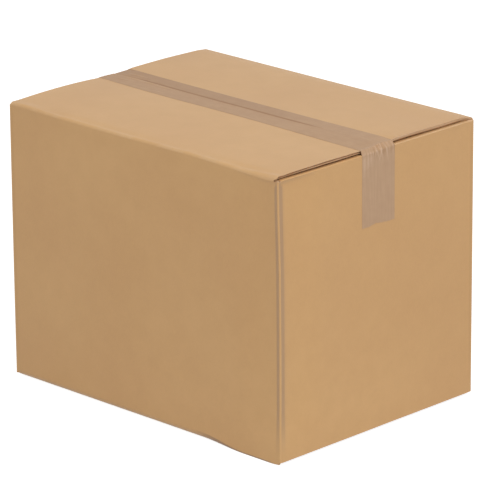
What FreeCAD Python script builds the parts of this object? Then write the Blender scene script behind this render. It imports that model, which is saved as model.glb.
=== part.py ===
import FreeCAD, Part
import os

V = FreeCAD.Vector

# A regular slotted carton folded from one sheet of corrugated board, closed and taped along its top seam.
# Millimetres. X runs along the seam, Y across it, Z up; the origin is the middle of the base, on the floor.
length = 407.0  # outside, over the end panels
width = 300.0  # outside, over the side panels
height = 316.0  # from the floor to the upper outer flaps, beside their folds

# Corrugated board
board = 3.8  # single wall, with flutes that run upright in the panels
facing = 0.45  # facing sheet left above an opened flute
flute_mouth = 1.2  # height of the flute that a cut along it opens
flute_depth = 3.0  # how far that opened flute reaches in from the cut edge

# Folds and scores
side_fold_radius = 5.0  # outside radius between a side panel and its outer flap
end_fold_radius = 1.6  # outside radius between an end panel and its inner flap
ridge_radius = 1.6  # upright corner between two panels
crease_centre = 3.4  # from that corner to the deepest line of the crushed score beside it
crease_depth = 0.7
crease_reach = 8.0  # from that corner to where the panel is flat again

# Flaps
near_slot = 2.3  # cut back from each corner at the outer flaps of the -Y panel
far_slot = 4.7  # at the outer flaps of the +Y panel
inner_slot = 4.5  # at the inner flaps of the end panels
slot_overcut = 0.5  # how far a slot runs past the lower fold
layer_gap = 0.5  # between an inner flap and the outer flap over it
seam_gap = 1.5  # between the two outer flaps
seam_offset = 3.5  # of that gap from the middle of the box, towards +Y
top_crown = 1.8  # rise of an upper outer flap halfway to the seam
top_rise = 1.2  # rise of the upper seam, which the tape holds down
base_rise = 0.5  # lift of the lower seam off the floor
base_ramp = 30.0  # over which a lower outer flap climbs to it

# Glued joint of the sheet, inside the corner at -X and +Y
joint_setback = 1.5  # cut edge of the side panel behind the fold of the tab
tab_width = 35.0
tab_stop = 6.0  # end of the tab short of the slots
tab_bevel = 12.0  # slant of the tab's ends

# Packing tape
tape_width = 50.0
tape_thickness = 0.12
tape_margin = 3.0  # flat board beyond each edge of the tape
top_tape_drop = 85.5  # down each end panel, from the upper flap plane
base_tape_stop = 8.0  # end of the lower tape short of the end panels
tear_pitch = 2.0  # teeth of the torn tape end
tear_depth = 0.8

# Places worked out from the sizes
half_length = length / 2
half_width = width / 2
inner_flap_top = height - board - layer_gap
slot_floor = min(height - side_fold_radius, inner_flap_top - end_fold_radius) - slot_overcut
section_foot = slot_floor - board
inner_flap_depth = half_width - seam_gap / 2
near_seam = seam_offset - seam_gap / 2
far_seam = -seam_offset - seam_gap / 2
seam_half_flat = tape_width / 2 + tape_margin


def line(*points):
    """Straight edges through the points."""
    return [Part.makeLine(a, b) for a, b in zip(points, points[1:])]


def round_corner(before, centre, after, radius):
    """Quarter arc about a centre, between its two tangent points."""
    outward = (before + after - centre * 2).normalize()
    return Part.Arc(before, centre + outward * radius, after).toShape()


def face(edges):
    """Flat face inside one closed run of edges."""
    return Part.Face(Part.Wire(Part.__sortEdges__(edges)))


def upright_corner(corner, come, go):
    """Outer edges round a scored corner: a narrow ridge between two crushed creases."""
    first = corner - come * ridge_radius
    last = corner + go * ridge_radius
    centre = corner + (go - come) * ridge_radius
    before = line(
        corner - come * crease_reach,
        corner - come * crease_centre + go * crease_depth,
        first,
    )
    after = line(
        last,
        corner + go * crease_centre - come * crease_depth,
        corner + go * crease_reach,
    )
    return before + [round_corner(first, centre, last, ridge_radius)] + after


def panels():
    """Four upright panels, scored at three corners and cut at the fourth, where the tab joins them."""
    floor = height - slot_floor
    east, west, north, south = V(1, 0, 0), V(-1, 0, 0), V(0, 1, 0), V(0, -1, 0)
    front_right = V(half_length, -half_width, floor)
    back_right = V(half_length, half_width, floor)
    back_left = V(-half_length, half_width, floor)
    front_left = V(-half_length, -half_width, floor)
    tab_face = back_left + south * board
    cut_edge = back_left + east * (end_fold_radius + joint_setback)
    fold_start = tab_face + east * end_fold_radius
    fold_end = tab_face + south * end_fold_radius
    fold_centre = fold_start + south * end_fold_radius
    edges = upright_corner(front_left, south, east)
    edges += line(front_left + east * crease_reach, front_right + west * crease_reach)
    edges += upright_corner(front_right, east, north)
    edges += line(front_right + north * crease_reach, back_right + south * crease_reach)
    edges += upright_corner(back_right, north, west)
    edges += line(back_right + west * crease_reach, cut_edge, cut_edge + south * board, fold_start)
    edges.append(round_corner(fold_start, fold_centre, fold_end, end_fold_radius))
    edges += line(fold_end, front_left + north * crease_reach)
    rise = V(0, 0, slot_floor - floor)
    outside = face(edges).extrude(rise)
    inside = Part.makeBox(
        length - 2 * board,
        width - 2 * board,
        slot_floor - floor,
        V(-half_length + board, -half_width + board, floor),
    )
    return outside.cut(inside)


def glue_tab():
    """Tab of the end panel, glued inside the side panel, with slanted ends that clear the flaps."""
    root = -half_length + board
    tip = -half_length + board + tab_width
    low = height - slot_floor + tab_stop
    high = slot_floor - tab_stop
    y = half_width - 2 * board
    outline = line(
        V(root, y, low),
        V(tip, y, low + tab_bevel),
        V(tip, y, high - tab_bevel),
        V(root, y, high),
        V(root, y, low),
    )
    return face(outline).extrude(V(0, board, 0))


def flap_line(depth, seam_edge, curve_start, crown, rise):
    """Line a depth below the face of the -Y outer flap, curved from a start to the flat at its seam edge."""
    top = height - depth
    start = V(0, -curve_start, top)
    middle = V(0, -(curve_start + seam_half_flat) / 2, top + crown)
    flat = V(0, -seam_half_flat, top + rise)
    seam = V(0, seam_edge, top + rise)
    curve = Part.BSplineCurve()
    curve.interpolate(Points=[start, middle, flat], InitialTangent=V(0, 1, 0), FinalTangent=V(0, 1, 0))
    return start, [curve.toShape()] + line(flat, seam), seam


def outer_flap(slot, *curve):
    """Upper outer flap of the -Y panel, with its fold and the flutes opened along its two cut ends."""
    face_start, face_edges, face_seam = flap_line(0, *curve)
    back_start, back_edges, back_seam = flap_line(board, *curve)
    fold_low = V(0, -half_width, height - side_fold_radius)
    fold_high = V(0, -half_width + side_fold_radius, height)
    fold_centre = V(0, fold_high.y, fold_low.z)
    foot = V(0, -half_width, section_foot)
    back_foot = V(0, -half_width + board, section_foot)
    back_corner = V(0, -half_width + board, height - board)
    edges = line(back_start, back_corner, back_foot, foot, fold_low)
    edges.append(round_corner(fold_low, fold_centre, fold_high, side_fold_radius))
    edges += line(fold_high, face_start) + face_edges + line(face_seam, back_seam) + back_edges
    span = length - 2 * slot
    flap = face(edges).extrude(V(span, 0, 0)).translated(V(-span / 2, 0, 0))

    mouth_start, mouth_edges, mouth_seam = flap_line(facing, *curve)
    bed_start, bed_edges, bed_seam = flap_line(facing + flute_mouth, *curve)
    mouth = mouth_edges + bed_edges + line(mouth_start, bed_start) + line(mouth_seam, bed_seam)
    flute = face(mouth).extrude(V(flute_depth, 0, 0))
    first_flute = flute.translated(V(-span / 2, 0, 0))
    last_flute = flute.translated(V(span / 2 - flute_depth, 0, 0))
    return flap.cut([first_flute, last_flute])


def inner_flap():
    """Upper inner flap of the +X panel, under the outer flaps, with its fold."""
    y = -half_width + inner_slot
    fold_low = V(half_length, y, inner_flap_top - end_fold_radius)
    fold_high = V(half_length - end_fold_radius, y, inner_flap_top)
    fold_centre = V(fold_high.x, y, fold_low.z)
    edges = line(
        fold_high,
        V(half_length - inner_flap_depth, y, inner_flap_top),
        V(half_length - inner_flap_depth, y, inner_flap_top - board),
        V(half_length - board, y, inner_flap_top - board),
        V(half_length - board, y, section_foot),
        V(half_length, y, section_foot),
        fold_low,
    )
    edges.append(round_corner(fold_low, fold_centre, fold_high, end_fold_radius))
    return face(edges).extrude(V(0, width - 2 * inner_slot, 0))


def carton():
    """The whole folded sheet."""
    end_to_end = (V(0, 0, 0), V(1, 0, 0))
    side_to_side = (V(0, 0, 0), V(0, 1, 0))
    top_to_base = (V(0, 0, height / 2), V(0, 0, 1))
    upper_inner = inner_flap()
    pieces = [glue_tab(), upper_inner, upper_inner.mirror(*end_to_end)]
    pieces += [piece.mirror(*top_to_base) for piece in pieces[1:]]
    top_curve = (half_width - side_fold_radius - board, top_crown, top_rise)
    base_curve = (seam_half_flat + base_ramp, -base_rise / 2, -base_rise)
    near, far = (near_slot, near_seam), (far_slot, far_seam)
    pieces.append(outer_flap(*near, *top_curve))
    pieces.append(outer_flap(*far, *top_curve).mirror(*side_to_side))
    pieces.append(outer_flap(*near, *base_curve).mirror(*top_to_base))
    pieces.append(outer_flap(*far, *base_curve).mirror(*top_to_base).mirror(*side_to_side))
    return panels().fuse(pieces).removeSplitter()


def torn_end(first, across, along, lift):
    """Strip of tape that starts at a level edge and ends in the small teeth of a torn cut."""
    teeth = max(1, round(tape_width / tear_pitch))
    step = across * (tape_width / teeth)
    outline = [first, first + across * tape_width, first + across * tape_width + along]
    tooth = along * (tear_depth / along.Length)
    corner = outline[-1]
    for number in range(teeth):
        outline.append(corner - step * (number + 0.5) - tooth)
        outline.append(corner - step * (number + 1))
    outline.append(first)
    return face(line(*outline)).extrude(lift)


def top_tape():
    """Tape over the upper seam, past the flap ends and down both end panels."""
    flap_top = height + top_rise
    y = -tape_width / 2
    panel_top = inner_flap_top
    right_end = half_length - near_slot
    left_end = -right_end
    thick = tape_thickness
    section = line(
        V(-half_length, y, panel_top),
        V(left_end, y, flap_top),
        V(right_end, y, flap_top),
        V(half_length, y, panel_top),
        V(half_length + thick, y, panel_top),
        V(right_end + thick, y, flap_top + thick),
        V(left_end - thick, y, flap_top + thick),
        V(-half_length - thick, y, panel_top),
        V(-half_length, y, panel_top),
    )
    strip = face(section).extrude(V(0, tape_width, 0))
    down = V(0, 0, height - top_tape_drop - panel_top)
    across = V(0, 1, 0)
    right = torn_end(V(half_length, y, panel_top), across, down, V(thick, 0, 0))
    left = torn_end(V(-half_length, y, panel_top), across, down, V(-thick, 0, 0))
    return strip.fuse([right, left]).removeSplitter()


def base_tape():
    """Tape along the lower seam, on the underside only."""
    reach = half_length - base_tape_stop
    first = V(0, -tape_width / 2, base_rise)
    across = V(0, 1, 0)
    lift = V(0, 0, -tape_thickness)
    right = torn_end(first, across, V(reach, 0, 0), lift)
    left = torn_end(first, across, V(-reach, 0, 0), lift)
    return right.fuse(left).removeSplitter()


os.makedirs("parts", exist_ok=True)
nodes = {"carton_blank": carton(), "top_tape": top_tape(), "base_tape": base_tape()}
for name, shape in nodes.items():
    shape.exportStep(f"parts/{name}.step")
    box = shape.BoundBox
    print(name, shape.isValid(), len(shape.Solids), "solid", round(shape.Volume / 1000, 2), "cm3")
    print("  from", round(box.XMin, 2), round(box.YMin, 2), round(box.ZMin, 2))
    print("  to", round(box.XMax, 2), round(box.YMax, 2), round(box.ZMax, 2))
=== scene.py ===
import math

import bpy
from mathutils import Matrix, Vector, noise


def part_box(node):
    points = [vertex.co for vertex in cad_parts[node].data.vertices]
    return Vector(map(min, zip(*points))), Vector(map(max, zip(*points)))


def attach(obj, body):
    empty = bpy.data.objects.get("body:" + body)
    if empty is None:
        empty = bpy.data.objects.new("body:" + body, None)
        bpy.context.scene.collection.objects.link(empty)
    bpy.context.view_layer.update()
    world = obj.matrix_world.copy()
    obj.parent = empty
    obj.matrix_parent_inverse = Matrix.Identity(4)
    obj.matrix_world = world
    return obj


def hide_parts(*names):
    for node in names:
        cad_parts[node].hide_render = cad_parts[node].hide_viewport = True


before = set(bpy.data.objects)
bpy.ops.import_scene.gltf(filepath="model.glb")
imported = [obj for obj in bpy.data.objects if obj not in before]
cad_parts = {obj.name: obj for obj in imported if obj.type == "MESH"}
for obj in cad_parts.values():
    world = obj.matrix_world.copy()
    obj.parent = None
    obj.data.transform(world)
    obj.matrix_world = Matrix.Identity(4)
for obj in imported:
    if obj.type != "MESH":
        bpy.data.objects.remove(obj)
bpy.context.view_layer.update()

MM = 0.001

# The CAD model's own sizes, in millimetres
carton_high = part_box("carton_blank")[1]
tape_low, tape_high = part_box("top_tape")
WRAP_ROOM = 0.25
HALF_L = carton_high.x / MM - WRAP_ROOM
HALF_W = carton_high.y / MM
TAPE_HALF = tape_high.y / MM
TAPE_END = tape_low.z / MM
LIMIT_X = tape_high.x / MM - 0.01

# Heights of the planes through the lower and the upper panel corners
LOW_PLANE = 2.4
HIGH_PLANE = LOW_PLANE + 311.2

# Board, folds and slots
BOARD = 3.8
RIDGE = 1.1
END_FOLD = 1.1
LOWER_FOLD = 0.5
TAB_FOLD = 1.6
INNER_FILLET = 1.0
TAB = 35.0
GLUE = 0.05
JOINT = 4.5
NEAR_SLOT = 2.3
FAR_SLOT = 4.7
INNER_SLOT = 4.5
SLOT_BASE = 3.2
SEAM_HALF = 0.8
LAYER_GAP = 0.3


def smooth(low, high, value):
    """0 at low, 1 at high, with a soft step between."""
    t = min(1.0, max(0.0, (value - low) / (high - low)))
    return t * t * (3 - 2 * t)


def bell(value, centre, width):
    return math.exp(-(((value - centre) / width) ** 2))


def table_value(table, value):
    """Straight lines through the pairs of a short table."""
    if value <= table[0][0]:
        return table[0][1]
    for (a, u), (b, v) in zip(table, table[1:]):
        if value <= b:
            return u + (v - u) * (value - a) / (b - a)
    return table[-1][1]


def wander(x, y, z, scale, seed):
    """Slow, repeatable wave between about -1 and 1."""
    return noise.noise(Vector((x / scale + seed, y / scale - seed, z / scale + 2 * seed)))


# Upper flaps. Heights are over the plane of the upper corners.
# The -Y panel: where its roll starts, and the radius of the roll, along x.
NEAR_START = ((-203, -1.8), (-176, -2.0), (-128, -2.8), (-66, -3.1), (-5, -2.9), (70, -2.4), (110, -2.9),
              (140, -4.1), (172, -5.0), (188, -5.5), (197, -4.6), (203, -4.2))
NEAR_RADIUS = ((-203, 3.4), (-176, 4.0), (-128, 3.3), (0, 3.2), (110, 3.4), (150, 3.8), (175, 5.0),
               (190, 6.0), (203, 5.0))
FAR_RADIUS = 4.0
FAR_CREST = ((-203, 1.7), (-150, 1.7), (0, 1.4), (150, 1.5), (185, 1.7), (203, 1.4))
# Heights of the flaps' faces at three places along x, by the distance in from the panel
FACE_X = (-200.0, 0.0, 200.0)
NEAR_FACE = (
    ((12, 1.5), (15, 1.7), (30, 2.3), (45, 2.8), (60, 3.1), (75, 3.2), (90, 3.1), (102, 2.8), (114, 2.4),
     (125, 2.0), (156, 2.1)),
    ((12, 1.3), (18, 1.6), (30, 2.0), (45, 2.3), (60, 2.5), (80, 2.7), (102, 2.9), (125, 3.0), (156, 2.8)),
    ((4, 0.3), (8, 0.5), (11, 0.6), (15, 0.9), (21, 1.15), (28, 1.35), (42, 1.6), (62, 1.8), (82, 1.9),
     (102, 1.6), (125, 1.5), (156, 1.5)),
)
FAR_FACE = (
    ((12, 2.6), (15, 2.8), (29, 3.2), (43, 3.5), (57, 3.8), (72, 4.0), (86, 3.9), (100, 3.8), (114, 3.6),
     (127, 3.3), (147, 2.9)),
    ((12, 2.4), (18, 2.7), (30, 2.9), (45, 3.0), (60, 3.0), (80, 3.0), (102, 2.9), (125, 3.0), (147, 3.6)),
    ((12, 2.5), (18, 2.6), (30, 2.6), (45, 2.5), (60, 2.8), (75, 3.1), (90, 3.4), (104, 3.3), (118, 3.2),
     (127, 2.9), (147, 2.9)),
)
# Where the flaps meet, along x
SEAM = ((-203, 5.3), (-130, 5.0), (-90, 3.6), (-30, 2.4), (60, 2.4), (120, 3.5), (203, 3.8))
# How far in from the panel the rolled fold has passed into the flap's face
ROLL_END = 14.0
# How far the tape presses down the corners of the -Y and the +Y flap
NEAR_PRESS, FAR_PRESS = 0.3, 0.9
# The fold on an end panel: its drop below the upper corners, its rise under the +Y flap, its worn ends
END_DROP, END_RISE, END_WORN = 3.2, 1.6, 0.4
RISE_Y = (-28, 30)


def face_value(tables, x, q):
    """Flap height between the three stations along x."""
    left, middle, right = (table_value(table, q) for table in tables)
    if x < 0:
        return middle + (left - middle) * smooth(FACE_X[1], FACE_X[0], x)
    return middle + (right - middle) * smooth(FACE_X[1], FACE_X[2], x)


def seam_at(x):
    return table_value(SEAM, x)


def tape_pull(x, y):
    """The tape presses the outer flaps' corners down where it turns over the ends of the box."""
    under = smooth(TAPE_HALF + 2.5, TAPE_HALF - 1.5, abs(y))
    press = FAR_PRESS if y > seam_at(x) else NEAR_PRESS
    return press * under * smooth(HALF_L - 22, HALF_L - 5, abs(x))


def near_fold(x):
    radius = table_value(NEAR_RADIUS, x)
    return radius, HIGH_PLANE + table_value(NEAR_START, x) + radius


def far_fold(x):
    return FAR_RADIUS, HIGH_PLANE + table_value(FAR_CREST, x)


def flap_top(fold, tables, x, q):
    """Height of an outer flap's face, q in from its panel."""
    radius, crest = fold(x)
    blend = smooth(radius, ROLL_END, q)
    return crest + (HIGH_PLANE + face_value(tables, x, q) - crest) * blend


def near_top(x, q):
    return flap_top(near_fold, NEAR_FACE, x, q) - tape_pull(x, q - HALF_W)


def far_top(x, q):
    return flap_top(far_fold, FAR_FACE, x, q) - tape_pull(x, HALF_W - q)


def top_at(x, y):
    """Height of the carton's upper face, across both flaps."""
    seam = seam_at(x)
    if y < seam:
        return near_top(x, min(HALF_W + y, HALF_W + seam - SEAM_HALF))
    return far_top(x, min(HALF_W - y, HALF_W - seam - SEAM_HALF))


def end_crest(y):
    """Height of the fold on an end panel, which follows the outer flap over it."""
    ends = smooth(12, 5, HALF_W - abs(y))
    return HIGH_PLANE - END_DROP + END_RISE * smooth(*RISE_Y, y) - END_WORN * ends


# Lower flaps: their lift off the floor, and the stretch along x where the -Y one sags down to it
NEAR_LIFT, FAR_LIFT, CORNER_LIFT, TAPED_LIFT = 0.85, 0.45, 0.8, 0.5
SAG_X = (88, 148)
WORN_X = (190, 202)
SAG_DEPTH = (14, 2)
TAPED_DEPTH = (90, 122)
# Radii of their rolls: the -Y one's is tighter where it sags
NEAR_ROLL, SAG_TIGHTER, FAR_ROLL = 6.6, 5.8, 5.0
# The lower fold of an end panel: its height, and its rise towards +Y
LOWER_CREST, LOWER_RISE = 2.75, 0.15


def near_lift(x, q):
    """Lift of the lower -Y flap off the floor: it sags down to it near its worn corner at +X."""
    beside = smooth(*SAG_DEPTH, q)
    return NEAR_LIFT * (1 - smooth(*SAG_X, x) * beside) + CORNER_LIFT * smooth(*WORN_X, x) * beside


def far_lift(x, q):
    """Lift of the lower +Y flap, the same at every depth q."""
    return FAR_LIFT * smooth(-150, 100, x)


def base_at(lift, x, q):
    """Height of a lower outer flap's face, q in from the panel; the base tape lies on its inner part."""
    return lift(x, q) + (TAPED_LIFT - lift(x, q)) * smooth(*TAPED_DEPTH, q)


# The folded sheet. A roll with a larger outer radius than this has a rounded inner face too.
ROLLED = BOARD + 0.3


class Panel:
    """One strip of the sheet: a panel with the flaps above and below it."""

    def __init__(self, side, start, along, inward, length, slots, slot_tops, creases):
        self.side = side
        self.start = Vector(start)
        self.along = Vector(along)
        self.inward = Vector(inward)
        self.length = length
        self.slots = slots
        self.slot_tops = slot_tops
        self.creases = creases

    def place(self, a, q):
        return self.start + self.along * a + self.inward * q


# Height of the slots' floors at the four corners
SLOT_FRONT_LEFT = HIGH_PLANE - 1.0
SLOT_FRONT = HIGH_PLANE - 4.2
SLOT_RIGHT = HIGH_PLANE - 1.9
SLOT_BACK = HIGH_PLANE - 1.6

# Crushed scores beside the upright corner ridges: depth, and how far they reach from the corner; the depth
# also sets the painted shade in the score
NO_CREASE = (0.0, 5.0)
SHALLOW_CREASE = (0.4, 5.0)
NEAR_CREASE = (1.6, 6.4)
RIGHT_CREASE = (2.3, 9.2)

tab_y = HALF_W - BOARD - GLUE
PANELS = [
    Panel("tab", (-HALF_L + BOARD + TAB, tab_y), (-1, 0), (0, -1), TAB + BOARD, None,
          (SLOT_BACK, SLOT_BACK), (NO_CREASE, NO_CREASE)),
    Panel("left", (-HALF_L, tab_y), (0, -1), (1, 0), HALF_W + tab_y, (2.2, INNER_SLOT),
          (SLOT_BACK, SLOT_FRONT_LEFT), (NO_CREASE, SHALLOW_CREASE)),
    Panel("near", (-HALF_L, -HALF_W), (1, 0), (0, 1), 2 * HALF_L, (NEAR_SLOT, NEAR_SLOT),
          (SLOT_FRONT_LEFT, SLOT_FRONT), (SHALLOW_CREASE, NEAR_CREASE)),
    Panel("right", (HALF_L, -HALF_W), (0, 1), (-1, 0), 2 * HALF_W, (INNER_SLOT, INNER_SLOT),
          (SLOT_FRONT, SLOT_RIGHT), (RIGHT_CREASE, SHALLOW_CREASE)),
    Panel("far", (HALF_L, HALF_W), (-1, 0), (0, -1), 2 * HALF_L - JOINT, (FAR_SLOT, 0.0),
          (SLOT_RIGHT, SLOT_BACK), (SHALLOW_CREASE, NO_CREASE)),
]
SCORE_STEPS = (1.1, 1.7, 2.4, 3.2, 4.2, 5.6, 7.4, 9.6, 12.5, 17.0, 24.0, 34.0)
FLAT_STEP = 9.0
TAB_STATIONS = [0.0, 6.0, 14.0, 24.0]
ARC_STEPS = (15, 35, 55, 75)
FOLD_ANGLES = (15, 30, 45, 60, 75, 90)
WALL_STEPS = (0, 1.0, 2.4, 4.2, 6.5, 9.5, 14, 21, 31, 43)
WALL_STEP = 12.0
OUTER_DEPTHS = (1, 2.5, 4.5, 7, 10, 15, 22, 31, 42, 54, 67, 80, 92, 104, 114, 120, 126, 132, 138, 143)
INNER_DEPTHS = (2, 6, 12, 24, 48, 80, 112, 148)
WALL_TOP = HIGH_PLANE - 4.2
# Room between the wall and a flap's roll, and how far from a corner the inner face is pushed aside
FOLD_ROOM = 0.25
SQUEEZE_REACH = 14.0


def stations(panel):
    """Distances along a panel: close together at its scored corners and at its slots."""
    if panel.side == "tab":
        return TAB_STATIONS + [panel.length - TAB_FOLD]
    first = TAB_FOLD if panel.side == "left" else RIDGE
    marks = {first}
    marks.update(s for s in SCORE_STEPS if s > first)
    marks.update(panel.length - s for s in SCORE_STEPS)
    middle = panel.length - 2 * SCORE_STEPS[-1]
    count = round(middle / FLAT_STEP)
    marks.update(SCORE_STEPS[-1] + middle * n / count for n in range(1, count))
    fixed = {panel.slots[0], panel.length - panel.slots[1]}
    kept = [m for m in marks if all(abs(m - f) > 0.35 or m == f for f in fixed)]
    return sorted(set(kept) | fixed)


def wall_heights():
    middle = WALL_TOP - SLOT_BASE - 2 * WALL_STEPS[-1]
    count = round(middle / WALL_STEP)
    low = [SLOT_BASE + s for s in WALL_STEPS]
    body = [low[-1] + middle * n / count for n in range(1, count)]
    return low + body + [WALL_TOP - s for s in reversed(WALL_STEPS)]


def in_flap(panel, a):
    if not panel.slots:
        return False
    return panel.slots[0] - 1e-6 <= a <= panel.length - panel.slots[1] + 1e-6


def wall_span(panel, a):
    """Foot and top of the wall at a station: the slots' floors, or the start of the flaps' rolls."""
    if in_flap(panel, a):
        low_radius, low_crest, _ = flap_shape(panel, a, False)
        radius, crest, _ = flap_shape(panel, a, True)
        return low_crest + low_radius + FOLD_ROOM, crest - radius - FOLD_ROOM
    return SLOT_BASE, panel.slot_tops[0] if a < panel.length / 2 else panel.slot_tops[1]


def wall_height(z, span):
    """Stretch the rows at both ends of the wall to its foot and top."""
    low, high = SLOT_BASE + WALL_STEPS[-1], WALL_TOP - WALL_STEPS[-1]
    if z > high:
        return high + (z - high) * (span[1] - high) / (WALL_TOP - high)
    if z < low:
        return low - (low - z) * (low - span[0]) / (low - SLOT_BASE)
    return z


def crease(panel, a, z):
    """How far a panel lies behind its corner ridges, and how much painted shade its crushed score there
    takes.
    """
    fade = smooth(SLOT_BASE, SLOT_BASE + 60, z) * smooth(WALL_TOP + 2, WALL_TOP - 5, z)
    wide = 0.25 + 0.75 * smooth(WALL_TOP + 1, WALL_TOP - 9, z)
    start = RIDGE + 0.3
    depth = crease_shade = 0.0
    for distance, (deep, reach) in zip((a, panel.length - a), panel.creases):
        end = start + (reach - start) * wide
        ramp = min(1.0, max(0.0, (distance - start) / (end - start)))
        depth += deep * ramp * (1 - smooth(12, 70, distance))
        within = smooth(start - 0.3, start + 0.7, distance), smooth(end + 0.9, end - 0.9, distance)
        # Painted shade along the crushed score
        crease_shade += min(1.0, deep / 1.5) * within[0] * within[1]
    return depth * fade, crease_shade * fade


def squeeze(panel, a):
    """Where the inner face meets a station, pushed off the corners by the neighbouring board."""
    if panel.side == "tab":
        return a
    reach = SQUEEZE_REACH
    if a < reach:
        return BOARD + a * (reach - BOARD) / reach
    if panel.length - a < reach and panel.side != "far":
        return panel.length - BOARD - (panel.length - a) * (reach - BOARD) / reach
    return a


class Sheet:
    """Outer and inner points of the sheet on one lattice of columns and rows.

    Wear above 0 is rubbed pale with a painted highlight, and below 0 it is dark: painted shade in the crushed
    scores and painted shadow where the -Y panel sags to the floor.
    """

    def __init__(self):
        self.outer = {}
        self.inner = {}
        self.cells = []
        self.wear_and_painted_light = {}

    def put(self, key, outer, inner, wear_and_painted_light=0.0):
        self.outer[key] = outer
        self.inner[key] = inner
        self.wear_and_painted_light[key] = wear_and_painted_light


def flap_rows(side):
    """Steps of a flap from its panel, round the fold and in to its free edge."""
    depths = OUTER_DEPTHS if side in ("near", "far") else INNER_DEPTHS
    rows = [("stand", 0.0)]
    rows += [("fold", math.radians(angle)) for angle in FOLD_ANGLES]
    rows += [("flat", depth) for depth in depths]
    if side in ("near", "far"):
        rows.append(("seam", 0.0))
    return rows


def flap_shape(panel, a, upper):
    """Fold radius, fold height and face height of a flap at one station."""
    x, y = panel.place(a, 0)
    if panel.side == "near":
        if upper:
            return (*near_fold(x), lambda q: near_top(x, q))
        radius = NEAR_ROLL - SAG_TIGHTER * smooth(*SAG_X, x)
        return radius, near_lift(x, 0), lambda q: base_at(near_lift, x, q)
    if panel.side == "far":
        if upper:
            return (*far_fold(x), lambda q: far_top(x, q))
        return FAR_ROLL, far_lift(x, 0), lambda q: base_at(far_lift, x, q)
    if upper:
        crest = end_crest(y)

        def under(q):
            flap = top_at(x - math.copysign(q, x), y) - BOARD - LAYER_GAP
            return min(crest - 0.6 * smooth(1, 6, q), flap)
        return END_FOLD, crest, under
    lift = near_lift if y < 0 else far_lift
    depth = HALF_W - abs(y)
    level = BOARD + 0.1 + max(base_at(lift, x, depth), base_at(lift, 0.8 * x, depth))
    crest = LOWER_CREST + LOWER_RISE * smooth(-30, 30, y)
    return LOWER_FOLD, crest, lambda q: crest + (level - crest) * smooth(0.3, 2.4, q)


def flap_point(panel, a, row, upper):
    """Outer and inner point of a flap at one station and row."""
    radius, crest, face = flap_shape(panel, a, upper)
    up = 1 if upper else -1
    inner_radius = max(radius - BOARD, 0.3)
    kind, value = row
    centre_z = crest - up * radius
    inner_back = radius - inner_radius if radius > ROLLED else BOARD
    inner_z = centre_z if radius > ROLLED else crest - up * (BOARD + inner_radius)
    if kind == "stand":
        return (*panel.place(a, 0), centre_z), (*panel.place(a, inner_back), inner_z)
    if kind == "fold":
        cosine, sine = math.cos(value), math.sin(value)
        outer = (*panel.place(a, radius - radius * cosine), centre_z + up * radius * sine)
        turn = inner_radius * (1 - cosine)
        inner = (*panel.place(a, inner_back + turn), inner_z + up * inner_radius * sine)
        return outer, inner
    if kind == "seam":
        seam = seam_at(panel.place(a, 0).x)
        value = HALF_W + (seam if panel.side == "near" else -seam) - SEAM_HALF
    depth = radius + value if value < 12 else max(value, radius + 12)
    z = face(depth)
    inner_depth = max(depth, inner_back + inner_radius + 0.4 * value)
    inner_depth = min(inner_depth, max(depth, inner_back + inner_radius + value))
    return (*panel.place(a, depth), z), (*panel.place(a, inner_depth), z - up * BOARD)


def tab_height(panel, a, z):
    """The tab's ends slant back from its fold."""
    if panel.side != "tab":
        return z
    away = panel.length - a
    middle = (WALL_TOP + SLOT_BASE) / 2
    cut = 6 * smooth(0, 6, away) + 12 * away / TAB
    half = (WALL_TOP - SLOT_BASE) / 2
    return middle + (z - middle) * (half - cut) / half


# Rubbing with a painted highlight on the ridges and folds, the lower edge's rubbing, and painted shadow along
# it
RIDGE_WEAR_AND_HIGHLIGHT, FOLD_WEAR_AND_HIGHLIGHT, LOWER_WEAR, FAINT_WEAR_AND_HIGHLIGHT = 0.3, 0.6, 0.2, 0.1
# Painted shadow at the foot and on the lower fold where the -Y panel sags
FOOT_SHADOW, FOLD_SHADOW = 1.7, 1.9


def build_sheet():
    """The whole folded sheet, from the glue tab round to the +Y panel's free edge."""
    sheet = Sheet()
    heights = wall_heights()
    last = len(heights) - 1
    column = 0
    for number, panel in enumerate(PANELS):
        marks = stations(panel)
        first_column = column
        for a in marks:
            span = wall_span(panel, a)
            for row, level in enumerate(heights):
                z = wall_height(level, span)
                q, crease_shade = crease(panel, a, z)
                zz = tab_height(panel, a, z)
                outer = (*panel.place(a, q), zz)
                inner = (*panel.place(squeeze(panel, a), BOARD), zz)
                # Rubbing and painted highlight along the corner ridges
                edge = min(a, panel.length - a)
                # Painted shadow along the foot where the -Y panel sags to the floor
                foot = FOOT_SHADOW * sag_shadow(panel, outer[0]) if row == 0 else 0.0
                sheet.put((column, row), outer, inner, RIDGE_WEAR_AND_HIGHLIGHT * bell(edge, 0, 1.3) - crease_shade - foot)
            column += 1
        for i in range(first_column, column - 1):
            sheet.cells += [(i, j) for j in range(last)]
        if panel.slots:
            add_flaps(sheet, panel, marks, first_column, last)
        if number + 1 < len(PANELS):
            column = add_corner(sheet, panel, PANELS[number + 1], column, heights)
    return sheet


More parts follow.
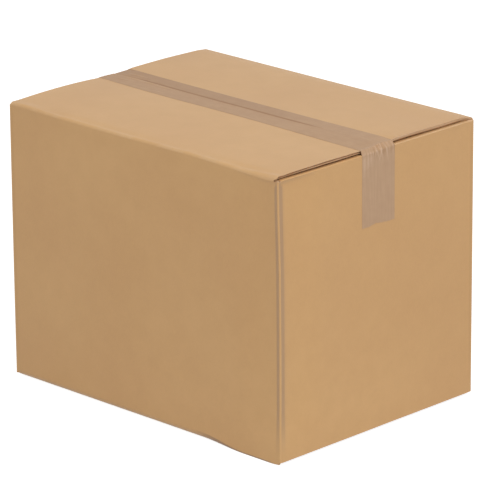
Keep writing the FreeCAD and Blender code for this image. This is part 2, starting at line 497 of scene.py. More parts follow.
def add_flaps(sheet, panel, marks, first_column, last):
    rows = flap_rows(panel.side)
    inside = [k for k, a in enumerate(marks) if in_flap(panel, a)]
    for upper in (True, False):
        step = 1 if upper else -1
        edge = last if upper else 0
        for k in inside:
            for number, row in enumerate(rows):
                outer, inner = flap_point(panel, marks[k], row, upper)
                outer, inner = torn_slot(panel, marks[k], outer), torn_slot(panel, marks[k], inner)
                # Rubbing and painted highlight on the fold rows; the stand rows keep only painted shadow
                wear_and_painted_light = fold_wear_and_light(panel, outer) if row[0] in ("stand", "fold") else 0.0
                if row[0] == "stand":
                    wear_and_painted_light = min(0.0, wear_and_painted_light)
                sheet.put((first_column + k, edge + step * (number + 1)), outer, inner, wear_and_painted_light)
        for k in inside[:-1]:
            for number in range(len(rows)):
                j = edge + number if upper else edge - number - 1
                sheet.cells.append((first_column + k, j))


def fold_wear_and_light(panel, point):
    """Rubbing and painted highlight of a fold: little on an end panel's -Y half, and painted shadow where the
    box sags.
    """
    if panel.side in ("left", "right") and point[2] > HIGH_PLANE / 2:
        return FAINT_WEAR_AND_HIGHLIGHT + (1 - FAINT_WEAR_AND_HIGHLIGHT) * smooth(-30, 30, point[1])
    if panel.side == "near" and point[2] < HIGH_PLANE / 2:
        return LOWER_WEAR - FOLD_SHADOW * sag_shadow(panel, point[0])
    return FOLD_WEAR_AND_HIGHLIGHT


def sag_shadow(panel, x):
    """Share of painted shadow along the lower edge of the -Y panel, where it sags to the floor."""
    return smooth(60, 120, x) * smooth(197, 185, x) if panel.side == "near" else 0.0


# How far the -Y flap's torn end leans back at its foot, and the +Y flap's fold reaches out at +X
TORN_LEAN, FOLD_REACH = 3.5, 3.2


def torn_slot(panel, a, point):
    """The near slot is torn wider at its foot, the other fold at +X reaches nearer to its corner,
    and the lower -Y flap lies as far in from the end panel as the +Y one."""
    x, y, z = point
    if z < HIGH_PLANE / 2:
        if panel.side == "near":
            beside = smooth(NEAR_SLOT + 14, NEAR_SLOT, panel.length - a)
            x -= (FAR_SLOT - NEAR_SLOT) * beside * smooth(2, 6, HALF_W + y)
        return x, y, z
    if panel.side == "near":
        lean = TORN_LEAN * smooth(HIGH_PLANE - 0.4, HIGH_PLANE - 3.6, z)
        lean *= smooth(7.0, NEAR_SLOT, panel.length - a)
        return x - lean, y, z
    if panel.side == "far":
        return x + FOLD_REACH * smooth(HALF_W - 7, HALF_W - 1, y) * smooth(11.0, FAR_SLOT, a), y, z
    return point


def add_corner(sheet, panel, following, column, heights):
    """Columns round an upright fold, joined to the panels on both sides."""
    radius = TAB_FOLD if panel.side == "tab" else RIDGE
    corner = following.start
    centre = corner - panel.along * radius + following.along * radius
    inner_corner = corner - panel.along * BOARD + following.along * BOARD
    inner_centre = inner_corner - panel.along * INNER_FILLET + following.along * INNER_FILLET
    span = (SLOT_BASE, following.slot_tops[0])
    first = column - 1
    for angle in ARC_STEPS:
        cosine, sine = math.cos(math.radians(angle)), math.sin(math.radians(angle))
        turn = panel.along * sine - following.along * cosine
        for row, level in enumerate(heights):
            z = wall_height(level, span)
            outer = centre + turn * radius
            inner = inner_centre + turn * INNER_FILLET
            # Rubbing and painted highlight round the ridge
            sheet.put((column, row), (*outer, z), (*inner, z), RIDGE_WEAR_AND_HIGHLIGHT)
        column += 1
    for i in range(first, column):
        sheet.cells += [(i, j) for j in range(len(heights) - 1)]
    return column


# How far the near corner bows in at mid height, along x and y, and leans in at its top
BOW_X, BOW_Y, BOW_REACH, LEAN_IN = 0.9, 2.3, 40, 1.3
# Bulge of the other upright corners, by their side, and its reach
BULGES, BULGE_REACH = ((-1, 0.3), (1, 0.05)), 25
# How far the +X panel is pulled in under the tape, and the -Y and +X panels hollow in their middle
TAPE_PULL, HOLLOW, HOLLOW_EDGE = 0.35, 0.5, 80


def warp(point):
    """Slow bends of the whole box, such as the near corner that bows in at mid height."""
    x, y, z = point
    belly = math.sin(math.pi * min(1, max(0, z / (HIGH_PLANE - 4))) ** 0.8)
    near = math.exp(-math.hypot(HALF_L - x, HALF_W + y) / BOW_REACH)
    x -= BOW_X * belly * near * smooth(0, 60, HALF_L + x)
    y += BOW_Y * belly * near
    x -= LEAN_IN * near * smooth(HIGH_PLANE - 110, HIGH_PLANE - 15, z)
    for side, bulge in BULGES:
        away = math.hypot(side * HALF_L - x, side * HALF_W - y)
        x += bulge * side * belly * math.exp(-away / BULGE_REACH)
    below = smooth(HIGH_PLANE - 80, HIGH_PLANE - 30, z)
    x -= TAPE_PULL * bell(y, 0, 34) * below * smooth(HALF_L - 30, HALF_L, x)
    middle_x = smooth(HALF_L, HALF_L - HOLLOW_EDGE, abs(x))
    middle_y = smooth(HALF_W, HALF_W - HOLLOW_EDGE, abs(y))
    y += HOLLOW * belly * middle_x * smooth(HALF_W - 30, HALF_W, -y) * (1 + wander(x, 0, z, 120, 3.1))
    x -= HOLLOW * belly * middle_y * smooth(HALF_L - 30, HALF_L, x) * (1 + wander(0, y, z, 110, 7.7))
    return x, y, z


# Shape of a cut edge across the board: depth from the outer face, and how far it lies behind the cut
RIM_PLAIN = ((0.0, 0.0), (0.9, -0.1), (1.7, 0.1), (2.4, -0.05), (3.1, 0.05), (BOARD, 0.0))
RIM_OPEN = ((0.0, 0.0), (0.6, 0.1), (0.7, 3.6), (2.05, 3.4), (2.15, -0.5), (3.1, -0.5), (3.2, 2.2),
            (BOARD, 2.4))
RIM_CRUSHED = ((0.0, 0.0), (0.6, -0.1), (1.3, 0.2), (2.0, 0.0), (2.8, 0.3), (3.1, 1.0), (BOARD, 1.2))
# The crushed edge: how uneven it is, how dark, and over what length
RAGGED, RAGGED_SHADE, RAGGED_SCALE = 0.5, 1.6, 1.1
SHARP_ANGLE = math.radians(38)


def rim_of(point):
    """The upper flaps' end cuts lie along a flute and open it, but the +Y one at +X is crushed."""
    if point.z < HIGH_PLANE - 5 or abs(point.x) < HALF_L - 20:
        return RIM_PLAIN
    if abs(point.x) > HALF_L - 1.5:
        return RIM_PLAIN
    return RIM_CRUSHED if point.y > 4 and point.x > 0 else RIM_OPEN


def even_rims(first, second):
    """Two rows of rim points brought to the same count."""
    count = max(len(first), len(second))

    def spread(ring):
        return [ring[round(n * (len(ring) - 1) / (count - 1))] for n in range(count)]
    return spread(first), spread(second)


def mesh_of(sheet):
    """Closed skin of the sheet: outer face, inner face and a cut edge round every border."""
    points, wear_and_painted_light, faces, slots = [], [], [], []
    index = {"outer": {}, "inner": {}}
    for layer, table in (("outer", sheet.outer), ("inner", sheet.inner)):
        for key, point in table.items():
            index[layer][key] = len(points)
            points.append(Vector(warp(point)))
            wear_and_painted_light.append(sheet.wear_and_painted_light[key] if layer == "outer" else 0.0)
    edges = {}
    pull = {}
    for i, j in sheet.cells:
        ring = [(i, j), (i + 1, j), (i + 1, j + 1), (i, j + 1)]
        faces.append([index["outer"][k] for k in ring])
        faces.append([index["inner"][k] for k in reversed(ring)])
        slots += [0, 0]
        for n in range(4):
            a, b = ring[n], ring[(n + 1) % 4]
            edges[(a, b)] = (ring[(n + 3) % 4], ring[(n + 2) % 4])
    border = {pair: into for pair, into in edges.items() if (pair[1], pair[0]) not in edges}
    for (a, b), (c, d) in border.items():
        pull.setdefault(a, []).append(c)
        pull.setdefault(b, []).append(d)
    rims = {}
    cut_back = {}
    for key, inward in pull.items():
        outer = points[index["outer"][key]]
        inner = points[index["inner"][key]]
        aim = Vector((0, 0, 0))
        for other in inward:
            aim += (points[index["outer"][other]] - outer).normalized()
        aim.normalize()
        profile = rim_of(outer)
        ring = [index["outer"][key]]
        ragged = RAGGED if profile is RIM_CRUSHED else 0.0
        for depth, shift in profile[1:-1]:
            ring.append(len(points))
            shift += ragged * wander(outer.y, depth, outer.z, RAGGED_SCALE, 4.3)
            points.append(outer.lerp(inner, depth / BOARD) + aim * shift)
            wear_and_painted_light.append(-RAGGED_SHADE * ragged)
        cut_back[index["inner"][key]] = aim * profile[-1][1]
        ring.append(index["inner"][key])
        rims[key] = ring
    for number, shift in cut_back.items():
        points[number] = points[number] + shift
    for a, b in border:
        # Cut edges in the lower half keep the board's colour
        low = points[index["outer"][a]].z < HIGH_PLANE / 2
        ring_a, ring_b = even_rims(rims[a], rims[b])
        for n in range(len(ring_a) - 1):
            face = [ring_b[n], ring_a[n], ring_a[n + 1], ring_b[n + 1]]
            face = [v for k, v in enumerate(face) if v not in face[:k]]
            if len(face) > 2:
                faces.append(face)
                slots.append(0 if low else 1)
    return points, wear_and_painted_light, faces, slots


def new_object(name, points, faces, slots, materials, wear_and_painted_light=None):
    mesh = bpy.data.meshes.new(name)
    mesh.from_pydata([tuple(p * MM) for p in points], [], faces)
    for material in materials:
        mesh.materials.append(material)
    mesh.polygons.foreach_set("material_index", slots)
    mesh.polygons.foreach_set("use_smooth", [True] * len(faces))
    if wear_and_painted_light is not None:
        layer = mesh.attributes.new("wear_and_painted_light", "FLOAT", "POINT")
        layer.data.foreach_set("value", wear_and_painted_light)
    mesh.set_sharp_from_angle(angle=SHARP_ANGLE)
    mesh.validate()
    mesh.update()
    obj = bpy.data.objects.new(name, mesh)
    bpy.context.scene.collection.objects.link(obj)
    return obj


# Packing tape

TAPE = 0.1
TAPE_LIFT = 0.05
TAPE_STEP = 0.5
LEAST_ROOM = 0.02
# How far below the end fold the tape's bend ends
BEND_FOOT = 2.0
# Folds that run down from the bend: place across the tape, width, height, reach, lean
STREAKS = (
    (-21.5, 2.4, 0.35, 15.0, 0.0),
    (-16.0, 1.5, 0.45, 13.0, 0.02),
    (-12.0, 1.3, 0.50, 9.0, 0.04),
    (-8.4, 1.0, 0.55, 7.0, 0.0),
    (-4.8, 0.8, 1.10, 6.5, 0.45),
    (-1.4, 0.7, 0.90, 5.5, -0.35),
    (2.0, 0.8, 1.20, 7.0, 0.3),
    (6.4, 0.9, 1.20, 6.5, -0.3),
    (11.2, 0.8, 1.10, 7.0, 0.2),
    (16.4, 1.2, 0.60, 4.5, 0.0),
    (22.2, 1.2, 0.35, 7.0, 0.0),
)
TORN_END = ((-25, -0.2), (-14, -0.4), (-8, 1.0), (-4, 1.5), (2, 0.6), (16, -0.6), (25, -0.4))
TOOTH = 0.45
# Edges of the tape on the top, along x: it narrows by a pleat at the -X end
EDGE_NEAR = ((-203, -18.2), (-165, -20.0), (-140, -21.3), (-110, -22.6), (-80, -23.7), (100, -24.0),
             (180, -25.0))
EDGE_FAR = ((-203, 26.2), (-150, 25.3), (-100, 24.8), (100, 24.4), (180, 25.0))
# Flat folds on the top: place along x and y, height, length
RIPPLES = (
    (-164, 2.4, 1.00, 14),
    (-140, 1.9, 1.10, 12),
    (-118, 0.4, 0.90, 10),
    (-172, 12.5, 0.80, 12),
    (-108, -16.0, 0.35, 7),
    (-178, -6.0, 0.45, 14),
)
RIPPLE_WIDTH, RIPPLE_SLOPE = 1.1, 0.05
# The folds at the -X end: their share of the height at +X, and how far they are shifted across the tape
BACK_HEIGHT, BACK_SHIFT = 0.35, 2.0


def taut(x, y):
    """Height of a line drawn tight over the flaps across the tape."""
    seam = seam_at(x)
    peak = (seam + SEAM_HALF, top_at(x, seam + SEAM_HALF))
    if y >= peak[0]:
        return top_at(x, y)
    best = top_at(x, y)
    for foot in range(-25, int(seam) + 1, 3):
        if foot < y:
            z = top_at(x, foot)
            best = max(best, z + (peak[1] - z) * (y - foot) / (peak[0] - foot))
    return best


def tape_top(x, y):
    """Underside of the tape on the top: it lies on the flaps and spans the step between them."""
    z = top_at(x, y)
    seam = seam_at(x)
    tight = 0.25 + 0.75 * smooth(40, 150, x)
    if abs(y - seam) < SEAM_HALF:
        near_z, far_z = top_at(x, seam - SEAM_HALF), top_at(x, seam + SEAM_HALF)
        z = near_z + (far_z - near_z) * (y - seam + SEAM_HALF) / (2 * SEAM_HALF)
    return z + (max(z, taut(x, y)) - z) * tight + TAPE_LIFT


def outer_reach(y):
    """How far out the outer flaps lie under the tape, eased across the seam."""
    return HALF_L - NEAR_SLOT - (FAR_SLOT - NEAR_SLOT) * smooth(-8, 5, y)


def turn_of(a, b, c):
    return (b[0] - a[0]) * (c[1] - a[1]) - (b[1] - a[1]) * (c[0] - a[0])


def bridge_path(side, y):
    """The taut line of the tape in an upright plane: from the flap's end over the end fold to the panel."""
    edge = outer_reach(y)
    crest = end_crest(y)
    radius = END_FOLD + TAPE_LIFT
    line = [(edge + TAPE_LIFT, tape_top(side * edge, y))]
    for angle in (80, 60, 40, 20, 0):
        a = math.radians(angle)
        line.append((HALF_L - END_FOLD + radius * math.cos(a), crest - END_FOLD + radius * math.sin(a)))
    line.append((HALF_L + TAPE_LIFT, crest - END_FOLD - BEND_FOOT))
    kept = []
    for point in line:
        while len(kept) > 1 and turn_of(kept[-2], kept[-1], point) >= 0:
            kept.pop()
        kept.append(point)
    return kept


def along_path(path, t):
    """Point at a share of a path's length."""
    lengths = [math.dist(a, b) for a, b in zip(path, path[1:])]
    left = t * sum(lengths)
    for (a, b), length in zip(zip(path, path[1:]), lengths):
        if left <= length:
            return a[0] + (b[0] - a[0]) * left / length, a[1] + (b[1] - a[1]) * left / length
        left -= length
    return path[-1]


BRIDGE_STEPS = 14
INSETS = (0.4, 1.0, 2.0, 3.4, 5.4, 8.0, 11.0, 15.0)
ACROSS_STEPS = 96
# Rows down an end panel: close at the torn end, then even, up to just below the bend
TORN_ROWS, TORN_ROW = 5, 1.1
DROP_ROWS, DROP_ROW, DROP_FIRST = 21, 3.5, 7
DROP_ROOM = 3.0
# Reach of the torn end's shape, and its share of the height at -X
TORN_REACH, BACK_TORN = 12, 0.6


def tape_rows():
    """Stations along the tape: up one end, over the top, down the other end."""
    drops = [TAPE_END + TORN_ROW * n for n in range(TORN_ROWS)]
    drops += [TAPE_END + DROP_FIRST + DROP_ROW * n for n in range(DROP_ROWS)]
    rows = [("drop", -1, z) for z in drops]
    rows += [("bridge", -1, 1 - n / BRIDGE_STEPS) for n in range(BRIDGE_STEPS + 1)]
    rows += [("top", -1, s) for s in INSETS]
    rows += [("across", 0, n / ACROSS_STEPS) for n in range(1, ACROSS_STEPS)]
    rows += [("top", 1, s) for s in reversed(INSETS)]
    rows += [("bridge", 1, n / BRIDGE_STEPS) for n in range(BRIDGE_STEPS + 1)]
    rows += [("drop", 1, z) for z in reversed(drops)]
    return rows


def tape_place(row, t):
    """How far across a station's point lies, for t from 0 at one edge of the tape to 1 at the other."""
    kind, side, value = row
    x = side * HALF_L
    if kind == "across":
        reach = HALF_L - FAR_SLOT - INSETS[-1]
        x = -reach + 2 * reach * value
    near, far = table_value(EDGE_NEAR, x), table_value(EDGE_FAR, x)
    if kind == "drop":
        spread = (2 * TAPE_HALF - far + near) / 2 * smooth(HIGH_PLANE - 5, HIGH_PLANE - 45, value)
        near, far = near - spread, far + spread
    return near + (far - near) * t


def tape_point(row, t):
    """A point of the tape's underside."""
    kind, side, value = row
    y = tape_place(row, t)
    if kind == "bridge":
        u, z = along_path(bridge_path(side, y), value)
        return Vector((side * u, y, z))
    if kind == "drop":
        foot = end_crest(y) - END_FOLD - BEND_FOOT
        top_drop = TAPE_END + DROP_FIRST + DROP_ROW * (DROP_ROWS - 1)
        z = TAPE_END + (value - TAPE_END) * (foot - DROP_ROOM - TAPE_END) / (top_drop - TAPE_END)
        torn = table_value(TORN_END, y * side)
        if side < 0:
            torn *= BACK_TORN
        tooth = TOOTH * (1 if round(2 * TAPE_HALF * t / TAPE_STEP) % 4 in (1, 2) else -1)
        z += (torn + tooth) * smooth(TAPE_END + TORN_REACH, TAPE_END, value)
        return Vector((side * (HALF_L + TAPE_LIFT), y, z))
    if kind == "top":
        x = side * (outer_reach(y) - value)
        return Vector((x, y, tape_top(x, y)))
    reach = outer_reach(y) - INSETS[-1]
    x = -reach + 2 * reach * value
    return Vector((x, y, tape_top(x, y)))


def tape_wrinkle(row, point):
    """Height of the folds that the tape keeps where it turns down and where it was pulled tight."""
    kind, side, value = row
    height = 0.0
    if kind != "across":
        top = HIGH_PLANE + 2.5
        for centre, width, tall, reach, lean in STREAKS:
            place = centre if side > 0 else -centre + BACK_SHIFT
            down = max(0.0, top - point.z)
            fade = math.exp(-((down / (1.5 * reach)) ** 2)) * smooth(-1.0, 3.0, down + 1.0)
            if kind == "top":
                fade *= max(0.0, 1 - value / 3.5)
            height += tall * fade * bell(point.y, place + lean * down * side, width)
        uneven = 1 + 0.8 * wander(point.x, point.y, point.z, 3.0, 2.3)
        height *= uneven * (1.0 if side > 0 else BACK_HEIGHT)
    else:
        for centre, place, tall, length in RIPPLES:
            path = place + RIPPLE_SLOPE * (point.x - centre)
            height += tall * bell(point.y, path, RIPPLE_WIDTH) * bell(point.x, centre, length)
    return height


def grid_normals(points, rows, columns):
    """Unit normals of a grid of points."""
    normals = []
    for i in range(rows):
        for j in range(columns):
            along = points[min(i + 1, rows - 1) * columns + j] - points[max(i - 1, 0) * columns + j]
            across = points[i * columns + min(j + 1, columns - 1)] - points[i * columns + max(j - 1, 0)]
            normals.append(along.cross(across).normalized())
    return normals


# Painted shade and light of the tape: shade over the seam and the +Y flap, light on the end panels, and paler
# folds from stress whitening and painted highlight
SEAM_SHADE, FLAP_SHADE, END_PAINTED_LIGHT = 0.6, 0.2, 0.25


def tape_shade(point, height):
    """Painted shade over the gap between the flaps and over the +Y flap, painted light on the end panels, and
    paler folds where stretching whitens them and a highlight is painted.
    """
    seam = seam_at(point.x)
    ends = smooth(-172, -150, point.x), smooth(125, 90, point.x)
    # Painted shade along the seam's groove
    line = SEAM_SHADE * bell(point.y, seam + 0.3, 1.2) * ends[0] * ends[1]
    # Painted shade over the +Y flap
    far = FLAP_SHADE * smooth(seam - 0.5, seam + 0.8, point.y) * smooth(125, 20, point.x)
    on_top = smooth(HIGH_PLANE - 4, HIGH_PLANE - 1, point.z)
    # Painted light on the end panels
    on_end = smooth(HIGH_PLANE - 4, HIGH_PLANE - 12, point.z)
    # Stretched folds whitened, with a painted highlight on their crests
    stretched = 0.3 + 0.6 * smooth(HIGH_PLANE - 1, HIGH_PLANE - 4, point.z)
    whitening_and_highlight = stretched * math.tanh(max(0.0, height) / 0.5)
    return max(line, far) * on_top - END_PAINTED_LIGHT * on_end - whitening_and_highlight


def build_tape():
    """The tape as a thin closed strip."""
    count = round(2 * TAPE_HALF / TAPE_STEP)
    ys = [n / count for n in range(count + 1)]
    rows = tape_rows()
    under = [tape_point(row, t) for row in rows for t in ys]
    normals = grid_normals(under, len(rows), len(ys))
    lifted, shades = [], []
    for number, (point, normal) in enumerate(zip(under, normals)):
        row = rows[number // len(ys)]
        height = tape_wrinkle(row, point)
        shades.append(tape_shade(point, height))
        if row[0] in ("drop", "bridge"):
            room = LIMIT_X - TAPE - LEAST_ROOM - abs(warp(point)[0])
            height = eased(height, room / max(0.05, abs(normal.x)))
        lifted.append(point + normal * height)
    normals = grid_normals(lifted, len(rows), len(ys))
    over = [point + normal * TAPE for point, normal in zip(lifted, normals)]
    skins = [[Vector(warp(point)) for point in grid] for grid in (lifted, over)]
    points, faces = strip_mesh(*skins, len(rows), len(ys))
    return points, faces, shades * 2


def eased(height, room):
    """A height that levels off as it nears its limit."""
    room = max(room, LEAST_ROOM)
    return room * math.tanh(height / room)


def strip_mesh(under, over, rows, columns):
    """Closed skin between two grids of points."""
    points = under + over
    shift = len(under)
    faces = []
    for i in range(rows - 1):
        for j in range(columns - 1):
            a = i * columns + j
            quad = [a, a + 1, a + columns + 1, a + columns]
            faces.append(quad)
            faces.append([k + shift for k in reversed(quad)])
    for i in range(rows - 1):
        for a, b in ((i * columns, (i + 1) * columns), ((i + 2) * columns - 1, (i + 1) * columns - 1)):
            faces.append([a, b, b + shift, a + shift])
    for j in range(columns - 1):
        start = (rows - 1) * columns
        for a, b in ((j + 1, j), (start + j, start + j + 1)):
            faces.append([a, b, b + shift, a + shift])
    return points, faces


# Steps of the base tape's length, its teeth, and the room left for them at each end
BASE_ROWS = 60
BASE_TOOTH, BASE_ROOM = 0.4, 0.5


def build_base_tape():
    """Flat strip on the underside, with torn ends."""
    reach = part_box("base_tape")[1].x / MM
    columns = round(2 * TAPE_HALF)
    under, over = [], []
    for n in range(BASE_ROWS + 1):
        for k in range(columns + 1):
            tooth = BASE_TOOTH * (1 if k % 2 else -1) if n in (0, BASE_ROWS) else 0.0
            x = (reach - BASE_ROOM - tooth) * (n - BASE_ROWS / 2) / (BASE_ROWS / 2)
            y = -TAPE_HALF + 2 * TAPE_HALF * k / columns
            over.append(Vector((x, y, TAPED_LIFT - TAPE_LIFT)))
            under.append(Vector((x, y, TAPED_LIFT - TAPE_LIFT - TAPE)))
    return strip_mesh(under, over, BASE_ROWS + 1, columns + 1)


# Materials: colours in sRGB, 0 to 255, lighter and darker
BOARD_TONES = (206, 158, 96), (198, 148, 87)
CUT_TONES = (238, 204, 168), (216, 180, 143)
PATCH, FIBRE, SPECK = (192, 143, 80), (214, 170, 108), (150, 108, 68)
# Pale tone for rubbing and painted highlight; dark tone for painted shade, painted shadow and the darker
# crushed edge
RUBBED_AND_HIGHLIGHT, SHADE_AND_CRUSHED = (216, 182, 142), (150, 110, 70)
TAPE_TONES = (192, 157, 124), (183, 147, 114)
# Painted shade tone, and a pale tone for whitened folds and painted light
TAPE_BLOTCH, TAPE_PAINTED_SHADE, TAPE_WHITENED_AND_LIT = (176, 139, 107), (146, 108, 78), (218, 186, 158)
FLUTE = 0.0078


def linear(rgb):
    """Linear colour of an sRGB colour in 0 to 255."""
    return tuple((c / 255 / 12.92) if c <= 10 else ((c / 255 + 0.055) / 1.055) ** 2.4 for c in rgb) + (1,)


class Nodes:
    """Short calls for building a node tree. An input named _3 is the node's input number 3."""

    def __init__(self, name):
        self.material = bpy.data.materials.new(name)
        self.material.use_nodes = True
        self.tree = self.material.node_tree
        self.tree.nodes.clear()

    def add(self, kind, settings=None, **inputs):
        node = self.tree.nodes.new(kind)
        for key, value in (settings or {}).items():
            setattr(node, key, value)
        for key, value in inputs.items():
            socket = node.inputs[int(key[1:])] if key[0] == "_" else node.inputs[key.replace("_", " ")]
            if isinstance(value, bpy.types.NodeSocket):
                self.tree.links.new(value, socket)
            else:
                socket.default_value = value
        return node

    def maths(self, operation, a, b=0.0):
        return self.add("ShaderNodeMath", {"operation": operation}, _0=a, _1=b).outputs[0]

    def noise(self, vector, scale, detail=3.0, rough=0.5):
        node = self.add(
            "ShaderNodeTexNoise", None, Vector=vector, Scale=scale, Detail=detail, Roughness=rough)
        return node.outputs["Fac"]

    def span(self, value, low, high, to_low=0.0, to_high=1.0):
        """The value stretched from one range to another, and clamped."""
        node = self.add("ShaderNodeMapRange", None, _0=value, _1=low, _2=high, _3=to_low, _4=to_high)
        return node.outputs[0]

    def mix(self, factor, a, b, blend="MIX"):
        node = self.add("ShaderNodeMix", {"data_type": "RGBA", "blend_type": blend}, _0=factor, _6=a, _7=b)
        return node.outputs[2]

    def stretch(self, vector, scale):
        return self.add("ShaderNodeMapping", None, Vector=vector, Scale=scale).outputs[0]

    def finish(self, shader):
        output = self.add("ShaderNodeOutputMaterial")
        self.tree.links.new(shader, output.inputs["Surface"])
        return self.material


def flute_wave(n, place, normal):
    """Faint bands that run along the flutes: upright on the panels, across the seam on the flaps."""
    parts = n.add("ShaderNodeSeparateXYZ", None, _0=place)
    facing = n.add("ShaderNodeSeparateXYZ", None, _0=normal)
    sideways = n.span(n.maths("ABSOLUTE", facing.outputs[0]), 0.4, 0.6)
    along = n.maths("ADD", n.maths("MULTIPLY", parts.outputs[1], sideways),
                    n.maths("MULTIPLY", parts.outputs[0], n.maths("SUBTRACT", 1.0, sideways)))
    return n.maths("SINE", n.maths("MULTIPLY", along, 2 * math.pi / FLUTE))


def kraft_board(name, cut_edge=False):
    """Kraft paper with fibres and specks, paler where the attribute holds rubbing and painted highlight,
    darker where it holds painted shade, painted shadow and the crushed edge.
    """
    n = Nodes(name)
    place = n.add("ShaderNodeTexCoord").outputs["Object"]
    normal = n.add("ShaderNodeNewGeometry").outputs["True Normal"]
    broad = n.noise(place, 7.0, 2.0)
    patches = n.noise(place, 45.0, 4.0, 0.6)
    fibres = n.noise(n.stretch(place, (1.0, 1.0, 0.35)), 900.0, 4.0, 0.65)
    specks = n.noise(place, 1500.0, 1.0)
    light, dark = (linear(tone) for tone in (CUT_TONES if cut_edge else BOARD_TONES))
    colour = n.mix(n.span(broad, 0.3, 0.7), dark, light)
    colour = n.mix(n.span(patches, 0.35, 0.65, 0.0, 0.35), colour, linear(PATCH))
    colour = n.mix(n.span(fibres, 0.3, 0.7, 0.0, 0.30), colour, linear(FIBRE))
    colour = n.mix(n.span(specks, 0.70, 0.78, 0.0, 0.35), colour, linear(SPECK))
    wear_and_painted_light = n.add("ShaderNodeAttribute", {"attribute_name": "wear_and_painted_light"}).outputs["Fac"]
    # Rubbed pale, with a painted highlight on the folds and ridges
    rubbed_and_highlight = n.maths("MULTIPLY", wear_and_painted_light, n.span(patches, 0.4, 0.6, 0.15, 0.5))
    colour = n.mix(rubbed_and_highlight, colour, linear(RUBBED_AND_HIGHLIGHT))
    # Painted shade in the scores, painted shadow at the sagging foot, and the darker crushed edge
    colour = n.mix(n.maths("MULTIPLY", wear_and_painted_light, -0.6), colour, linear(SHADE_AND_CRUSHED))
    wave = flute_wave(n, place, normal)
    relief = n.maths("ADD", n.maths("MULTIPLY", wave, 0.010), n.maths("MULTIPLY", fibres, 0.045))
    relief = n.maths("ADD", relief, n.maths("MULTIPLY", patches, 0.12))
    bump = n.add("ShaderNodeBump", None, Strength=0.5, Distance=0.001, Height=relief).outputs[0]
    roughness = n.span(fibres, 0.3, 0.7, 0.50, 0.60)
    shader = n.add("ShaderNodeBsdfPrincipled", None, Base_Color=colour, Roughness=roughness, Normal=bump)
    shader.inputs["Specular IOR Level"].default_value = 1.0
    shader.inputs["Sheen Weight"].default_value = 0.12
    return n.finish(shader.outputs[0])


def packing_tape(name):
    """Brown film with streaks along it, darker with painted shade and paler with painted light and whitening
    from the attribute.
    """
    n = Nodes(name)
    place = n.add("ShaderNodeTexCoord").outputs["Object"]
    along = n.stretch(place, (0.06, 1.0, 0.06))
    streaks = n.noise(along, 420.0, 3.0, 0.6)
    blotches = n.noise(place, 90.0, 3.0, 0.55)
    light, dark = (linear(tone) for tone in TAPE_TONES)
    colour = n.mix(n.span(streaks, 0.3, 0.7), dark, light)
    colour = n.mix(n.span(blotches, 0.4, 0.7, 0.0, 0.4), colour, linear(TAPE_BLOTCH))
    shade = n.add("ShaderNodeAttribute", {"attribute_name": "wear_and_painted_light"}).outputs["Fac"]
    # Painted shade over the seam and the +Y flap
    colour = n.mix(shade, colour, linear(TAPE_PAINTED_SHADE))
    # Painted light on the end panels, and whitening with painted highlight on the folds
    colour = n.mix(n.maths("MULTIPLY", shade, -1.0), colour, linear(TAPE_WHITENED_AND_LIT))
    relief = n.maths("ADD", n.maths("MULTIPLY", streaks, 0.05), n.maths("MULTIPLY", blotches, 0.10))
    bump = n.add("ShaderNodeBump", None, Strength=0.35, Distance=0.001, Height=relief).outputs[0]
    roughness = n.span(streaks, 0.3, 0.7, 0.42, 0.54)
    shader = n.add("ShaderNodeBsdfPrincipled", None, Base_Color=colour, Roughness=roughness, Normal=bump)
    shader.inputs["Specular IOR Level"].default_value = 0.1
    return n.finish(shader.outputs[0])


# The box and its tape

board = kraft_board("kraft_board")
cut_edge = kraft_board("kraft_cut_edge", True)
tape = packing_tape("brown_tape")

points, wear_and_painted_light, faces, slots = mesh_of(build_sheet())
carton = new_object("folded_carton", points, faces, slots, [board, cut_edge], wear_and_painted_light)
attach(carton, "root")
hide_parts("carton_blank")

points, faces, shades = build_tape()
seam_tape = new_object("seam_tape", points, faces, [0] * len(faces), [tape], shades)
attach(seam_tape, "root")
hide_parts("top_tape")

points, faces = build_base_tape()
under_tape = new_object("under_tape", points, faces, [0] * len(faces), [tape])
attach(under_tape, "root")
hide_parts("base_tape")


# Studio: the camera looks from the photograph's side

AZIMUTH, ELEVATION, ROLL = 44.7285, 18.1096, -0.4764
DISTANCE = 4366.8
TARGET = Vector((-1.1, -0.2, 164.3 + LOW_PLANE))
FOCAL_PIXELS = 4016.0
FRAME_PIXELS = 480
SENSOR = 36.0
CLIP_END = 50
# Levels of the studio: the world's light on the box, and the floor's paint, glow and drop below the box
WORLD_LEVEL = 0.53
FLOOR_PAINT, FLOOR_GLOW, FLOOR_DROP = 0.5, 0.85, 0.0003
LAMP_AIM = Vector((0, 0, 0.16))


def aim_camera():
    azimuth, elevation, roll = (math.radians(v) for v in (AZIMUTH, ELEVATION, ROLL))
    back = Vector((
        math.sin(azimuth) * math.cos(elevation),
        -math.cos(azimuth) * math.cos(elevation),
        math.sin(elevation),
    ))
    right = (-back).cross(Vector((0, 0, 1))).normalized()
    up = right.cross(-back)
    turned_right = right * math.cos(roll) + up * math.sin(roll)
    turned_up = up * math.cos(roll) - right * math.sin(roll)
    camera = bpy.data.objects.new("camera", bpy.data.cameras.new("camera"))
    camera.data.sensor_width = SENSOR
    camera.data.lens = FOCAL_PIXELS / FRAME_PIXELS * SENSOR
    camera.data.clip_end = CLIP_END
    rotation = Matrix((turned_right, turned_up, back)).transposed()
    camera.matrix_world = Matrix.Translation((TARGET + back * DISTANCE) * MM) @ rotation.to_4x4()
    bpy.context.scene.collection.objects.link(camera)
    bpy.context.scene.camera = camera


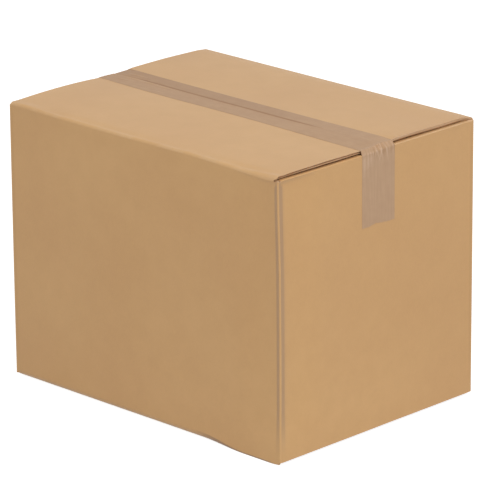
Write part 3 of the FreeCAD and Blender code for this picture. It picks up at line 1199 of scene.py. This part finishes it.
def seen_directly(tree):
    """1 for rays from the camera, in mirrors and through glass."""
    path = tree.nodes.new("ShaderNodeLightPath")
    total = path.outputs["Is Camera Ray"]
    for name in ("Is Glossy Ray", "Is Transmission Ray"):
        add = tree.nodes.new("ShaderNodeMath")
        add.operation = "MAXIMUM"
        tree.links.new(total, add.inputs[0])
        tree.links.new(path.outputs[name], add.inputs[1])
        total = add.outputs[0]
    return total


def white_world(level):
    """White where it is seen, and a plain light of the given level on the box."""
    world = bpy.data.worlds.new("studio")
    bpy.context.scene.world = world
    world.use_nodes = True
    tree = world.node_tree
    tree.nodes.clear()
    plain = tree.nodes.new("ShaderNodeBackground")
    plain.inputs["Strength"].default_value = level
    white = tree.nodes.new("ShaderNodeBackground")
    white.inputs["Strength"].default_value = 1.0
    for node in (plain, white):
        node.inputs["Color"].default_value = (1, 1, 1, 1)
    mix = tree.nodes.new("ShaderNodeMixShader")
    out = tree.nodes.new("ShaderNodeOutputWorld")
    tree.links.new(seen_directly(tree), mix.inputs[0])
    tree.links.new(plain.outputs[0], mix.inputs[1])
    tree.links.new(white.outputs[0], mix.inputs[2])
    tree.links.new(mix.outputs[0], out.inputs[0])


def floor(size):
    """White floor. Its paint takes the box's shadow, and its glow hides nearly all of it."""
    mesh = bpy.data.meshes.new("floor")
    corners = [(-size, -size, 0), (size, -size, 0), (size, size, 0), (-size, size, 0)]
    mesh.from_pydata(corners, [], [(0, 1, 2, 3)])
    n = Nodes("floor_paint")
    base = n.add("ShaderNodeBsdfDiffuse", None, Color=(FLOOR_PAINT, FLOOR_PAINT, FLOOR_PAINT, 1))
    glow = n.add("ShaderNodeEmission", None, Color=(1, 1, 1, 1), Strength=FLOOR_GLOW)
    both = n.add("ShaderNodeAddShader", None, _0=base.outputs[0], _1=glow.outputs[0])
    seen = seen_directly(n.tree)
    mix = n.add("ShaderNodeMixShader", None, _0=seen, _1=base.outputs[0], _2=both.outputs[0])
    mesh.materials.append(n.finish(mix.outputs[0]))
    obj = bpy.data.objects.new("floor", mesh)
    bpy.context.scene.collection.objects.link(obj)
    obj.location.z = -FLOOR_DROP


def lamp(name, place, size, power):
    light = bpy.data.lights.new(name, "AREA")
    light.shape = "SQUARE"
    light.size = size
    light.energy = power
    obj = bpy.data.objects.new(name, light)
    obj.location = place
    obj.rotation_mode = "QUATERNION"
    obj.rotation_quaternion = (LAMP_AIM - Vector(place)).to_track_quat("-Z", "Y")
    bpy.context.scene.collection.objects.link(obj)


aim_camera()
white_world(WORLD_LEVEL)
floor(6.0)
lamp("key", (3.3, 0.0, 3.1), 1.5, 64)
lamp("fill", (1.2, -3.4, 2.9), 1.5, 44)

bpy.context.scene.view_settings.view_transform = "Standard"
